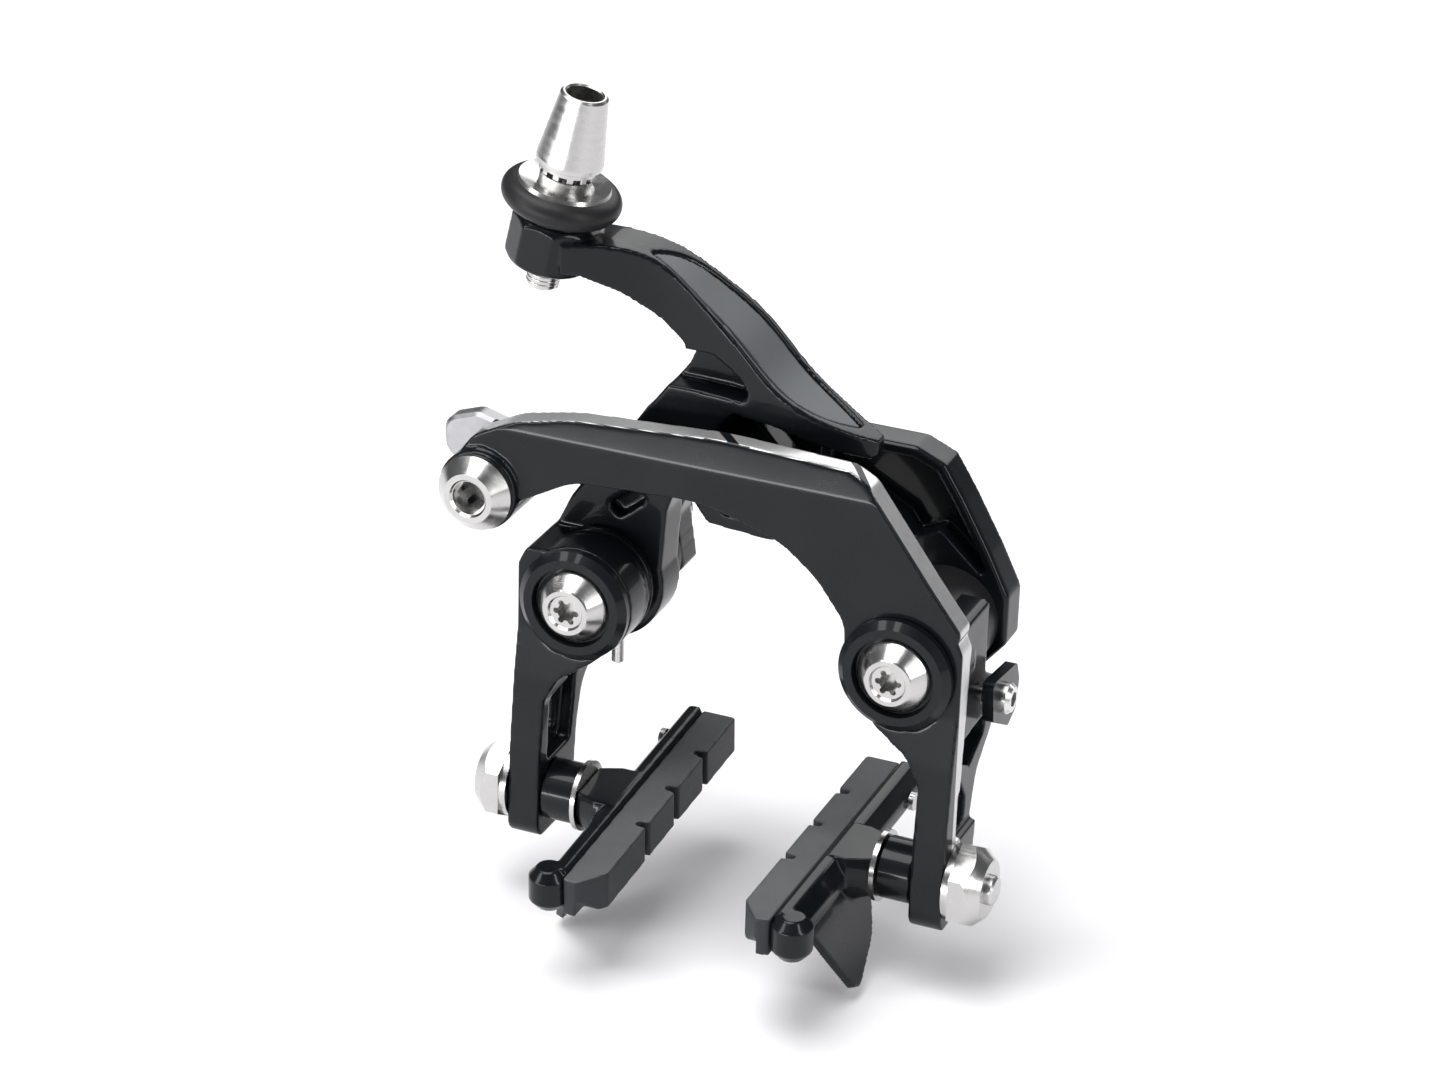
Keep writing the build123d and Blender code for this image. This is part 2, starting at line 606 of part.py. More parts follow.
def make_adjuster():
    top = cone_base + cone_height
    low = boss_low - stub_length
    socket_depth = cone_height - 2.0
    cable_bore = 1.3
    with BuildPart() as barrel:
        add(turned(barrel_plane, [
            (cable_bore, low), (barrel_radius - 0.5, low), (barrel_radius, low + 0.5),
            (barrel_radius, cone_base - 0.6), (cone_base_radius - 0.9, cone_base - 0.6),
            (cone_base_radius - 0.9, cone_base), (cone_base_radius, cone_base + 0.5),
            (cone_base_radius, cone_base + 1.2), (cone_top_radius + 0.1, top - 0.4),
            (cone_top_radius - 0.3, top), (barrel_bore + 0.3, top), (barrel_bore, top - 0.3),
            (barrel_bore, top - socket_depth), (cable_bore, top - socket_depth),
        ]))
    save("adjuster_barrel", barrel.part)

    base, crown = nut_base, nut_base + nut_height
    groove = nut_radius - 0.6
    with BuildPart() as nut:
        add(turned(barrel_plane, [
            (barrel_radius + running_gap, base), (nut_radius - 1.2, base),
            (nut_radius - 0.4, base + 0.6), (groove, base + 1.2), (groove, crown - 1.6),
            (nut_radius, crown - 0.9), (nut_radius - 0.3, crown - 0.3),
            (cone_base_radius - 0.6, crown - 1.1), (cone_base_radius - 1.2, crown - 1.2),
            (cone_base_radius - 1.2, crown + 0.9), (barrel_radius + running_gap, crown + 0.9),
        ]))
    save("adjuster_nut", nut.part)

    middle = nut_base + nut_height / 2
    ring_plane = Plane(origin=barrel_plane.from_local_coords((0, middle, 0)),
                       x_dir=barrel_plane.x_dir, z_dir=barrel_dir)
    with BuildPart() as grip:
        with Locations(ring_plane.location):
            Torus(groove + grip_thickness * 0.2, grip_thickness)
        seat = 0.05
        add(turned(barrel_plane, [
            (0, base - 2), (nut_radius - 0.4 + seat, base - 2), (nut_radius - 0.4 + seat, base + 1.2),
            (groove + seat, base + 1.2), (groove + seat, crown - 1.6),
            (nut_radius + seat, crown - 0.95), (nut_radius + seat, crown + 3), (0, crown + 3),
        ]), mode=Mode.SUBTRACT)
    save("adjuster_grip_ring", grip.part)


# ---- small screws -------------------------------------------------------------------
def make_small_screws():
    with BuildPart() as bracket:
        view = [(-20.8, -4.0), (-8.9, -5.5), (-7.4, -9.0), (-8.2, -14.0), (-12.0, -15.6), (-19.5, -11.5)]
        add(side_slab(view, arm_outer + face_gap, arm_outer + 2.2, 1.2))
        add(side_disc(bracket_y, bracket_z, bracket_screw_radius + running_gap), mode=Mode.SUBTRACT)
    save("spring_bracket_right", bracket.part)

    with BuildPart() as screw:
        plane = along_x(bracket_y, bracket_z)
        add(turned(plane, [
            (0, arm_outer - 4.0), (bracket_screw_radius, arm_outer - 4.0),
            (bracket_screw_radius, arm_outer + 2.2),
            (2.6, arm_outer + 2.2), (2.6, arm_outer + 3.2), (2.1, arm_outer + 3.9),
            (0, arm_outer + 3.9),
        ]))
        with BuildSketch(Plane(origin=(arm_outer + 3.9, bracket_y, bracket_z), z_dir=(1, 0, 0))):
            RegularPolygon(1.35, 6)
        extrude(amount=-1.4, mode=Mode.SUBTRACT)
    save("bracket_screw_right", screw.part)


# ---- brake pads ---------------------------------------------------------------------
def tilted(part, name):
    """The piece turned about the pad bolt, as its pad is set."""
    return part.rotate(Axis((0, pad_bolt_y, pad_bolt_z), (1, 0, 0)), pad_tilt[name])


def make_pad(side, name):
    insert_back = pad_face + insert_thickness
    holder_back = insert_back + holder_thickness
    spacer_inner = arm_inner - 0.1
    washer_outer = 27.0
    washer_inner = washer_outer - washer_thickness

    with BuildPart() as insert:
        plan = [(pad_face, pad_back), (insert_back, pad_back), (insert_back, pad_front + 0.4),
                (pad_face + 3.6, pad_front), (pad_face, pad_front + nose_length)]
        with BuildSketch(Plane.XY.offset(pad_bottom)):
            with BuildLine():
                FilletPolyline(*plan, radius=[0.6, 0.2, 0.6, 0.8, 0.8], close=True)
            make_face()
        extrude(amount=pad_top - pad_bottom)
        nose = [(pad_front - 2, pad_bottom - 1), (pad_front + 5.0, pad_bottom - 1),
                (pad_front - 2, pad_bottom + 4.5)]
        add(side_slab(nose, 0, insert_back - 2.2), mode=Mode.SUBTRACT)
        for step in range(3):
            groove_y = pad_front + 19.5 + 12.0 * step
            groove = [(pad_face - 1, groove_y), (pad_face + 2.0, groove_y + 0.6),
                      (pad_face + 2.0, groove_y + 1.7), (pad_face - 1, groove_y + 2.1)]
            with BuildSketch(Plane.XY.offset(pad_bottom - 1)):
                with BuildLine():
                    Polyline(*groove, close=True)
                make_face()
            extrude(amount=20, mode=Mode.SUBTRACT)
    save(f"pad_insert_{name}", for_side(side, tilted(insert.part, name)))

    fin_view = [
        (-49.0, pad_bottom + 2.5), (-45.4, -46.0), (-40.6, fin_low + 0.8), (-38.6, fin_low),
        (-36.0, fin_low + 1.2), (-29.2, -51.2), (-25.2, -46.0), (-24.6, pad_bottom + 2.5),
    ]
    fin = side_slab(fin_view, insert_back + 1.4, insert_back + 2.9, [0.3, 8, 1, 1, 1, 8, 6, 0.3])
    hinge = Axis((insert_back + 1.4, 0, pad_bottom + 2.5), (0, 1, 0))
    end_view = [
        (insert_back, pad_bottom + 0.6), (insert_back, pad_top - 0.2),
        (insert_back + 0.6, pad_top + 0.8), (insert_back + 2.4, pad_top + 0.6),
        (holder_back, pad_top - 2.2), (holder_back, pad_bottom + 2.4),
        (insert_back + 2.6, pad_bottom - 0.2), (insert_back + 0.6, pad_bottom - 0.2),
    ]
    nose_radius = 3.4
    nose_axis = Plane(
        origin=(insert_back + nose_radius - 0.2, pad_front + 2.2, 0), x_dir=(1, 0, 0),
        z_dir=(0, -1, 0),
    )
    nose_profile = [
        (0, pad_bottom - 0.2), (2.0, pad_bottom - 0.2), (nose_radius, pad_bottom + 1.4),
        (nose_radius, pad_top - 1.0), (2.0, pad_top + 0.6), (0, pad_top + 0.6),
    ]
    boss_trim = [(-60.0, -60.0), (10.0, -60.0), (10.0, pad_top + 0.8), (-60.0, pad_top + 0.8)]
    boss = turned(along_x(pad_bolt_y, pad_bolt_z), [
        (0, insert_back + 1), (6.6, insert_back + 1), (6.6, holder_back), (5.2, washer_inner),
        (0, washer_inner),
    ]) & side_slab(boss_trim, insert_back, washer_inner + 1)
    with BuildPart() as holder:
        add(slab(end_view, pad_front + 2.0, pad_back - 0.4, [0.2, 0.2, 0.4, 0.8, 1.6, 1.6, 0.8, 0.4]))
        add(turned(nose_axis, nose_profile))
        with Locations((pad_face + insert_thickness / 2, (pad_front + pad_back) / 2, -40)):
            Box(insert_thickness, 80, 60, mode=Mode.SUBTRACT)
        add(boss)
        add(fin.rotate(hinge, -fin_lean))
    save(f"pad_holder_{name}", for_side(side, tilted(holder.part, name)))

    plane = along_x(pad_bolt_y, pad_bolt_z)
    with BuildPart() as bolt:
        tip = arm_outer + pad_nut_height + 1.3
        add(turned(plane, [(0, washer_inner), (pad_bolt_radius, washer_inner),
                           (pad_bolt_radius, tip - 0.4), (pad_bolt_radius - 0.4, tip), (0, tip)]))
    save(f"pad_bolt_{name}", for_side(side, bolt.part))

    bore = pad_bolt_radius + 0.02
    with BuildPart() as washer:
        add(turned(plane, [(bore, washer_inner), (6.0, washer_inner), (6.0, washer_outer),
                           (bore, washer_outer)]))
    save(f"pad_washer_{name}", for_side(side, washer.part))

    with BuildPart() as spacer:
        add(turned(plane, [(bore, washer_outer), (spacer_radius, washer_outer),
                           (spacer_radius, spacer_inner), (bore, spacer_inner)]))
        chamfer(spacer.edges().filter_by(GeomType.CIRCLE).sort_by(SortBy.RADIUS)[-2:], 0.4)
    save(f"pad_spacer_{name}", for_side(side, spacer.part))

    base = arm_outer + 0.1
    top = base + pad_nut_height
    with BuildSketch(Plane(origin=(base + 1.2, pad_bolt_y, pad_bolt_z), x_dir=(0, 0, 1),
                           z_dir=(1, 0, 0))) as hexagon:
        RegularPolygon(pad_nut_radius, 6)
    hex_bar = extrude(hexagon.sketch, amount=pad_nut_height, mode=Mode.PRIVATE)
    with BuildPart() as nut:
        add(hex_bar & turned(plane, [
            (0, base + 1.2), (pad_nut_radius, base + 1.2), (pad_nut_radius, base + 3.4),
            (4.9, top), (0, top),
        ]))
        add(turned(plane, [(0, base), (6.3, base), (6.3, base + 1.3), (0, base + 1.3)]))
        add(turned(plane, [(0, base - 1), (bore, base - 1), (bore, top + 1), (0, top + 1)]),
            mode=Mode.SUBTRACT)
    save(f"pad_nut_{name}", for_side(side, nut.part))

    with BuildPart() as retainer:
        y = pad_back - 6.0
        add(turned(along_x(y, (pad_top + pad_bottom) / 2), [
            (0, holder_back), (1.6, holder_back), (1.6, holder_back + 0.9), (0, holder_back + 0.9),
        ]))
    save(f"pad_retainer_{name}", for_side(side, tilted(retainer.part, name)))


make_rear_arch()
make_pivot_hardware(-1, "left", left_hub_back)
make_pivot_hardware(1, "right", right_hub_back)
make_anchor_arm()
make_cable_anchor()
make_stop_arm()
make_tension_screw()
make_sync_roller()
make_adjuster()
make_small_screws()
make_pad(-1, "left")
make_pad(1, "right")
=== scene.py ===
"""Finishes, detail pieces and studio for a direct-mount rim brake caliper."""

import json
import math

import bpy
from bpy.props import FloatProperty, FloatVectorProperty, PointerProperty
from mathutils import Matrix, Vector

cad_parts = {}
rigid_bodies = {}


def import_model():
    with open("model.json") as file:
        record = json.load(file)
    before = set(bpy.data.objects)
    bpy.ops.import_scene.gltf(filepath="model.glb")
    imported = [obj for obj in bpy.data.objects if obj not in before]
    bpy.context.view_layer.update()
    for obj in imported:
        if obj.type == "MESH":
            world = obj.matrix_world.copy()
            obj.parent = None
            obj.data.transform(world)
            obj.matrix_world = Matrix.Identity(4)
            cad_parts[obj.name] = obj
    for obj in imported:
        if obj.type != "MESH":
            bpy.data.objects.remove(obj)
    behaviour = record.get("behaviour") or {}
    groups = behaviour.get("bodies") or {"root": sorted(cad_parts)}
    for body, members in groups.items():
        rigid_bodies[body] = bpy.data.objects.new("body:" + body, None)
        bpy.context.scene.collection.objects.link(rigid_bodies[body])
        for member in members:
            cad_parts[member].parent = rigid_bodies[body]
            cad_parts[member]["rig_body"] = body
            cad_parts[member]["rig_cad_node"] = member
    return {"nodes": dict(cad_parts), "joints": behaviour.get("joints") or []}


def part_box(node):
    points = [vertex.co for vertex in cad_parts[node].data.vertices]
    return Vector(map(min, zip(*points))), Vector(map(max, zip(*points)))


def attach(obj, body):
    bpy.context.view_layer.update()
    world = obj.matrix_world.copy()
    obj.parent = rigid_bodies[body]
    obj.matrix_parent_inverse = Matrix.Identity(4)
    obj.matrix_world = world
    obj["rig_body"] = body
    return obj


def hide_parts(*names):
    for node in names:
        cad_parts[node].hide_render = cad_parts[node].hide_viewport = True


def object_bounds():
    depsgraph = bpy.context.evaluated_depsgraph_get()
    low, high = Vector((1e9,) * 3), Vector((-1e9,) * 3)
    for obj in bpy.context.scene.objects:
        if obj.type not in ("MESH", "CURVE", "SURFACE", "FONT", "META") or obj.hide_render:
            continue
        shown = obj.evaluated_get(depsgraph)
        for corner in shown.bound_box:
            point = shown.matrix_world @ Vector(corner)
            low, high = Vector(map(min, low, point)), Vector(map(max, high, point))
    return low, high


bl_info = {
    "name": "Rim Brake Caliper",
    "version": (1, 0, 0),
    "blender": (4, 5, 0),
    "location": "View3D > Sidebar > Caliper",
    "description": "Builds the finishes and fine detail of a direct-mount rim brake caliper",
    "category": "Object",
}

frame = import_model()
CAD_BOX = [list(corner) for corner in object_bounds()]
NODES = frame["nodes"]
JOINTS = {joint["name"]: joint for joint in frame["joints"]}

PIVOT_X = abs(JOINTS["front_arm_pivot"]["pos_m"][0])
BARREL_AXIS = Vector(JOINTS["adjuster_nut_turn"]["axis"]).normalized()
BARREL_FOOT = Vector(JOINTS["adjuster_nut_turn"]["pos_m"])
ANCHOR_LOW, ANCHOR_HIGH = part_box("cable_anchor_bolt")
ANCHOR_AXIS = (ANCHOR_LOW + ANCHOR_HIGH) / 2
SIDES = {"left": -1, "right": 1}
TRIANGLE_LIMIT = 180000    # most triangles on one forged piece

# sizes of the detail pieces, in metres
STUD = {"start": 0.0009, "radius": 0.0030, "length": 0.0092, "pitch": 0.001}
STUB = {"start": -0.0158, "radius": 0.00258, "length": 0.0040, "pitch": 0.0007}
TEETH = {"start": 0.0048, "count": 12, "radius": 0.0040, "size": (0.0011, 0.0011, 0.0011)}
TOOTH_BEVEL = 0.00012

# painted highlight strips on the front lever's outer edge, where light catches it: where they lie
# across its plate and along it
STRIP_FRONT = (-0.0303, -0.0300)
STRIP_BACK = (-0.0263, -0.0260)
STRIP_START = (-0.0470, -0.0466)
STRIP_GAPS = (
    ((-0.0047, -0.0044), (-0.0026, -0.0023)),
    ((0.0178, 0.0181), (0.0196, 0.0199)),
)


# ---- settings ----------------------------------------------------------------------
class CaliperFinishes(bpy.types.PropertyGroup):
    """Colours and gloss of the caliper's finishes."""

    anodised: FloatVectorProperty(
        name="Anodised black",
        description="Colour of the levers, arch and pad holders",
        subtype="COLOR",
        size=3,
        min=0,
        max=1,
        default=(0.0042, 0.0054, 0.0066),
    )
    # painted highlight: colour of the bright strips painted along the front lever's outer edge
    strip: FloatVectorProperty(
        name="Machined strip",
        description="Colour of the bare strips on the front lever's edge",
        subtype="COLOR",
        size=3,
        min=0,
        max=1,
        default=(0.62, 0.62, 0.62),
    )
    inlay: FloatVectorProperty(
        name="Inlay",
        description="Colour of the panel let into the rear lever",
        subtype="COLOR",
        size=3,
        min=0,
        max=1,
        default=(0.045, 0.050, 0.056),
    )
    steel: FloatVectorProperty(
        name="Polished steel",
        description="Colour of bolts, washers and the adjuster",
        subtype="COLOR",
        size=3,
        min=0,
        max=1,
        default=(0.54, 0.535, 0.525),
    )
    rubber: FloatVectorProperty(
        name="Pad compound",
        description="Colour of the brake pads",
        subtype="COLOR",
        size=3,
        min=0,
        max=1,
        default=(0.013, 0.0145, 0.0165),
    )
    voxel: FloatProperty(
        name="Surface step",
        description="Size of the mesh cells on the forged levers",
        subtype="DISTANCE",
        unit="LENGTH",
        min=0.0002,
        max=0.002,
        default=0.00036,
    )


class CaliperStudio(bpy.types.PropertyGroup):
    """Camera and floor."""

    azimuth: FloatProperty(
        name="Azimuth",
        description="How far the camera stands round to the right",
        subtype="ANGLE",
        default=math.radians(22.2),
    )
    elevation: FloatProperty(
        name="Elevation",
        description="How far the camera looks down",
        subtype="ANGLE",
        default=math.radians(25.8),
    )
    roll: FloatProperty(
        name="Roll",
        description="How far the camera leans to its left",
        subtype="ANGLE",
        default=math.radians(1.8),
    )
    distance: FloatProperty(
        name="Distance",
        description="From the camera to the front of the levers",
        subtype="DISTANCE",
        unit="LENGTH",
        default=0.7,
    )
    lens: FloatProperty(
        name="Lens",
        description="Focal length, in millimetres, on a sensor 36 mm wide",
        default=108.65,
    )
    floor: FloatVectorProperty(
        name="Floor",
        description="Colour of the floor",
        subtype="COLOR",
        size=3,
        min=0,
        max=1,
        default=(0.88, 0.87, 0.885),
    )


# ---- shader maths ------------------------------------------------------------------
class Value:
    """A number that changes over a surface; sums and products of it add Math nodes."""

    def __init__(self, finish, socket):
        self.finish = finish
        self.socket = socket

    def math(self, operation, *others):
        values = [self, *others]
        inputs = {place: value for place, value in enumerate(values)}
        node = self.finish.node("ShaderNodeMath", {"operation": operation}, inputs)
        return Value(self.finish, node.outputs[0])

    def __add__(self, other):
        return self.math("ADD", other)

    __radd__ = __add__

    def __mul__(self, other):
        return self.math("MULTIPLY", other)

    __rmul__ = __mul__

    def __sub__(self, other):
        return self.math("SUBTRACT", other)

    def __rsub__(self, other):
        return (self * -1.0) + other

    def above(self, low, high):
        """0 below low, 1 above high, and smooth between them."""
        inputs = {"Value": self, "From Min": low, "From Max": high}
        node = self.finish.node(
            "ShaderNodeMapRange", {"interpolation_type": "SMOOTHSTEP"}, inputs
        )
        return Value(self.finish, node.outputs[0])

    def below(self, low, high):
        """1 below low, 0 above high, and smooth between them."""
        return 1.0 - self.above(low, high)


class Finish:
    """One material and the nodes that make it."""

    def __init__(self, name):
        self.material = bpy.data.materials.new(name)
        self.material.use_nodes = True
        self.tree = self.material.node_tree
        self.tree.nodes.clear()
        self.shader = self.tree.nodes.new("ShaderNodeBsdfPrincipled")
        output = self.tree.nodes.new("ShaderNodeOutputMaterial")
        self.tree.links.new(self.shader.outputs[0], output.inputs[0])
        self.place = self.node("ShaderNodeTexCoord").outputs["Object"]

    def put(self, socket, value):
        """Links a Value or a socket to an input, or sets a plain number or colour on it."""
        if isinstance(value, Value):
            value = value.socket
        if isinstance(value, bpy.types.NodeSocket):
            self.tree.links.new(value, socket)
        elif hasattr(value, "__len__") and socket.type == "RGBA":
            socket.default_value = (*value[:3], 1.0)
        else:
            socket.default_value = value

    def node(self, kind, settings=None, inputs=None):
        """Adds a node: its settings first, then its inputs."""
        node = self.tree.nodes.new(kind)
        for name, setting in (settings or {}).items():
            setattr(node, name, setting)
        for name, value in (inputs or {}).items():
            self.put(node.inputs[name], value)
        return node

    def set(self, **inputs):
        """Sets the shader's own sockets; Base_Color stands for Base Color."""
        for name, value in inputs.items():
            self.put(self.shader.inputs[name.replace("_", " ")], value)

    def noise(self, scale, detail=3.0):
        inputs = {"Vector": self.place, "Scale": scale, "Detail": detail}
        return Value(self, self.node("ShaderNodeTexNoise", None, inputs).outputs[0])

    def axes(self, vector=None):
        """The three numbers of a vector: of the place on the object, unless one is given."""
        node = self.node("ShaderNodeSeparateXYZ", None, {0: vector or self.place})
        return [Value(self, socket) for socket in node.outputs]

    def facing(self):
        """The three numbers of the surface's true normal."""
        return self.axes(self.node("ShaderNodeNewGeometry").outputs["True Normal"])

    def about(self, centre, axis):
        """Place measured from centre, with Z along axis."""
        turn = Vector(axis).rotation_difference(Vector((0, 0, 1))).to_euler()
        inputs = {0: self.place, 1: Vector(centre)}
        moved = self.node("ShaderNodeVectorMath", {"operation": "SUBTRACT"}, inputs)
        inputs = {"Vector": moved.outputs[0], "Rotation": turn}
        return self.node("ShaderNodeMapping", None, inputs).outputs[0]

    def mix(self, mask, first, second):
        """A colour between first, where mask is 0, and second, where it is 1."""
        node = self.node("ShaderNodeMix", {"data_type": "RGBA"}, {"Factor": mask})
        colours = [socket for socket in node.inputs if socket.type == "RGBA"]
        self.put(colours[0], first)
        self.put(colours[1], second)
        return [socket for socket in node.outputs if socket.type == "RGBA"][0]

    def bump(self, height, strength, distance):
        inputs = {"Height": height, "Strength": strength, "Distance": distance}
        self.set(Normal=self.node("ShaderNodeBump", None, inputs).outputs[0])

    def circles(self, centre, axis, pitch):
        """Fine turning marks: circles round an axis."""
        place = self.about(centre, axis)
        settings = {"wave_type": "RINGS", "rings_direction": "Z", "wave_profile": "SIN"}
        inputs = {"Vector": place, "Scale": 0.314 / pitch, "Distortion": 1.2,
                  "Detail": 2.0, "Detail Scale": 3.0}
        return Value(self, self.node("ShaderNodeTexWave", settings, inputs).outputs[1])


# ---- finishes ----------------------------------------------------------------------
def look():
    return bpy.context.scene.caliper_finishes


def lighter(colour, share):
    return tuple(channel * share for channel in colour)


def dress(finish, colour):
    """Anodised and lacquered: a satin black with faint clouding under a thin clear coat."""
    cloud = finish.noise(90, 4)
    peel = finish.noise(2400, 2)
    finish.set(Roughness=cloud.above(0.25, 0.8) * 0.10 + 0.26)
    finish.set(Coat_Weight=0.30, Coat_Roughness=0.07, Specular_IOR_Level=0.10)
    finish.bump(peel, 0.10, 0.00004)
    return finish.mix(cloud.above(0.3, 0.7) * 0.5, colour, lighter(colour, 1.5))


def anodised(name="anodised_black"):
    finish = Finish(name)
    finish.set(Base_Color=dress(finish, look().anodised))
    return finish.material


def lever_with_painted_highlights():
    """Anodised lever with painted highlight strips along its front plate's outer edge."""
    finish = Finish("anodised_black_with_painted_highlights")
    black = dress(finish, look().anodised)
    x, y, z = finish.axes()
    out_x, out_y, out_z = finish.facing()
    # painted highlight: the strip covers faces turned up and outwards, where the lights catch the
    # edge
    edge = (out_x + out_z * 1.6).above(0.55, 0.75)
    edge = edge * out_y.above(-0.55, -0.35) * out_y.below(0.35, 0.55)
    edge = edge * y.below(*STRIP_BACK) * y.above(*STRIP_FRONT)
    slant = x + (y + 0.0275) * 0.9
    strip = edge * slant.above(*STRIP_START)
    for start, end in STRIP_GAPS:
        strip = strip * (1.0 - slant.above(*start) * slant.below(*end))
    grain = finish.noise(900, 3)
    # painted highlight colour, a little grainy, laid over the black along the strip
    painted_highlight = finish.mix(grain, lighter(look().strip, 0.75), look().strip)
    finish.set(Base_Color=finish.mix(strip, black, painted_highlight), Metallic=strip * 0.7)
    return finish.material


def inlay():
    finish = Finish("inlay_satin_grey")
    cloud = finish.noise(160, 3)
    colour = finish.mix(cloud, look().inlay, lighter(look().inlay, 1.3))
    finish.set(Base_Color=colour, Metallic=0.55, Roughness=cloud * 0.08 + 0.34)
    finish.set(Coat_Weight=0.1, Coat_Roughness=0.15, Specular_IOR_Level=0.35)
    finish.bump(finish.noise(3000, 1), 0.08, 0.00003)
    return finish.material


def turned_steel(name, centre, axis, pitch=0.00022, roughness=0.17):
    """Polished metal with the faint circles that a lathe leaves."""
    finish = Finish(name)
    marks = finish.circles(centre, axis, pitch)
    wear = finish.noise(420, 4)
    rough = wear.above(0.35, 0.8) * 0.10 + roughness
    colour = finish.mix(wear, lighter(look().steel, 0.92), look().steel)
    finish.set(Base_Color=colour, Metallic=1.0, Roughness=rough + marks * 0.05)
    finish.bump(marks, 0.05, 0.00003)
    return finish.material


def plain_metal(name, colour, roughness, scale=700):
    finish = Finish(name)
    wear = finish.noise(scale, 4)
    finish.set(Base_Color=finish.mix(wear, lighter(colour, 0.8), colour), Metallic=1.0)
    finish.set(Roughness=wear * 0.15 + roughness)
    finish.bump(wear, 0.06, 0.00005)
    return finish.material


def pad_rubber():
    """Moulded friction compound: a fine open grain, with a painted highlight lightening what faces
    up.
    """
    finish = Finish("pad_compound")
    grain = finish.noise(1800, 5)
    # painted highlight: faces turned up are lightened towards grey, as light from above falls on
    # them
    painted_top_light = finish.facing()[2].above(0.6, 0.95) * (finish.noise(220, 4) * 0.4 + 0.6)
    base = finish.mix(grain, look().rubber, lighter(look().rubber, 1.7))
    colour = finish.mix(painted_top_light * 0.6, base, (0.15, 0.152, 0.156))
    finish.set(Base_Color=colour, Roughness=grain * 0.15 + 0.46, Specular_IOR_Level=0.30)
    finish.bump(grain, 0.25, 0.00012)
    return finish.material


def soft_rubber(name="grip_rubber", roughness=0.36):
    finish = Finish(name)
    grain = finish.noise(1300, 3)
    colour = finish.mix(grain, (0.010, 0.010, 0.011), (0.017, 0.017, 0.018))
    finish.set(Base_Color=colour, Roughness=grain * 0.12 + roughness, Specular_IOR_Level=0.22)
    finish.bump(grain, 0.12, 0.00006)
    return finish.material


def paint(node, material):
    """Gives a CAD node, or a new piece, its one material."""
    mesh = (NODES[node] if isinstance(node, str) else node).data
    mesh.materials.clear()
    mesh.materials.append(material)


# ---- modelling ---------------------------------------------------------------------
def only(piece):
    """Selects one object and makes it the active one."""
    bpy.ops.object.select_all(action="DESELECT")
    piece.select_set(True)
    bpy.context.view_layer.objects.active = piece


def copy_of(node, name):
    """A merged copy of a CAD node, free of its body."""
    piece = NODES[node].copy()
    piece.data = NODES[node].data.copy()
    piece.name = name
    piece.data.name = name
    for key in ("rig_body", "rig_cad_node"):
        del piece[key]
    piece.parent = None
    piece.matrix_world = Matrix.Identity(4)
    bpy.context.scene.collection.objects.link(piece)
    only(piece)
    bpy.ops.object.mode_set(mode="EDIT")
    bpy.ops.mesh.select_all(action="SELECT")
    bpy.ops.mesh.remove_doubles(threshold=0.000002)
    bpy.ops.object.mode_set(mode="OBJECT")
    if piece.data.has_custom_normals:
        bpy.ops.mesh.customdata_custom_splitnormals_clear()
    return piece


def apply(piece, kind, **settings):
    """Adds one modifier with its settings and applies it."""
    only(piece)
    modifier = piece.modifiers.new(kind.title(), kind)
    for name, value in settings.items():
        setattr(modifier, name, value)
    bpy.ops.object.modifier_apply(modifier=modifier.name)


def forged(node, name, step, rounds=3):
    """A copy of a CAD node with the soft edges of a forging."""
    piece = copy_of(node, name)
    apply(piece, "REMESH", mode="VOXEL", voxel_size=step, adaptivity=0.0)
    apply(piece, "SMOOTH", factor=0.5, iterations=rounds)
    triangles = 2 * len(piece.data.polygons)
    if triangles > TRIANGLE_LIMIT:
        apply(piece, "DECIMATE", ratio=TRIANGLE_LIMIT / triangles)
    only(piece)
    bpy.ops.object.shade_smooth()
    return piece


def seat(piece, body, slot, *nodes):
    """Puts a finished piece on its body, in place of the CAD nodes that it stands for."""
    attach(piece, body)
    if nodes:
        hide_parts(*nodes)


def stand(piece, centre, axis):
    """Turns a piece from the Z axis to its own axis, moves it there and keeps its origin."""
    turn = Vector((0, 0, 1)).rotation_difference(Vector(axis)).to_matrix().to_4x4()
    piece.matrix_world = Matrix.Translation(Vector(centre)) @ turn
    only(piece)
    bpy.ops.object.transform_apply(location=True, rotation=True, scale=True)


def thread(name, centre, axis, size):
    """Helical ridge round a shank, from centre along axis."""
    pitch = size["pitch"]
    bpy.ops.object.select_all(action="DESELECT")
    bpy.ops.mesh.primitive_circle_add(
        vertices=4, radius=0.36 * pitch, location=(size["radius"] - 0.12 * pitch, 0, 0),
        rotation=(math.pi / 2, 0, 0),
    )
    piece = bpy.context.object
    piece.name = name
    piece.data.name = name
    bpy.ops.object.transform_apply(location=True, rotation=True, scale=True)
    turns = int(size["length"] / pitch)
    apply(piece, "SCREW", axis="Z", angle=2 * math.pi, screw_offset=pitch, iterations=turns,
          steps=32, render_steps=32)
    bpy.ops.object.mode_set(mode="EDIT")
    bpy.ops.mesh.select_all(action="SELECT")
    bpy.ops.mesh.fill_holes(sides=0)
    bpy.ops.mesh.select_all(action="SELECT")
    bpy.ops.mesh.normals_make_consistent(inside=False)
    bpy.ops.object.mode_set(mode="OBJECT")
    stand(piece, centre, axis)
    return piece


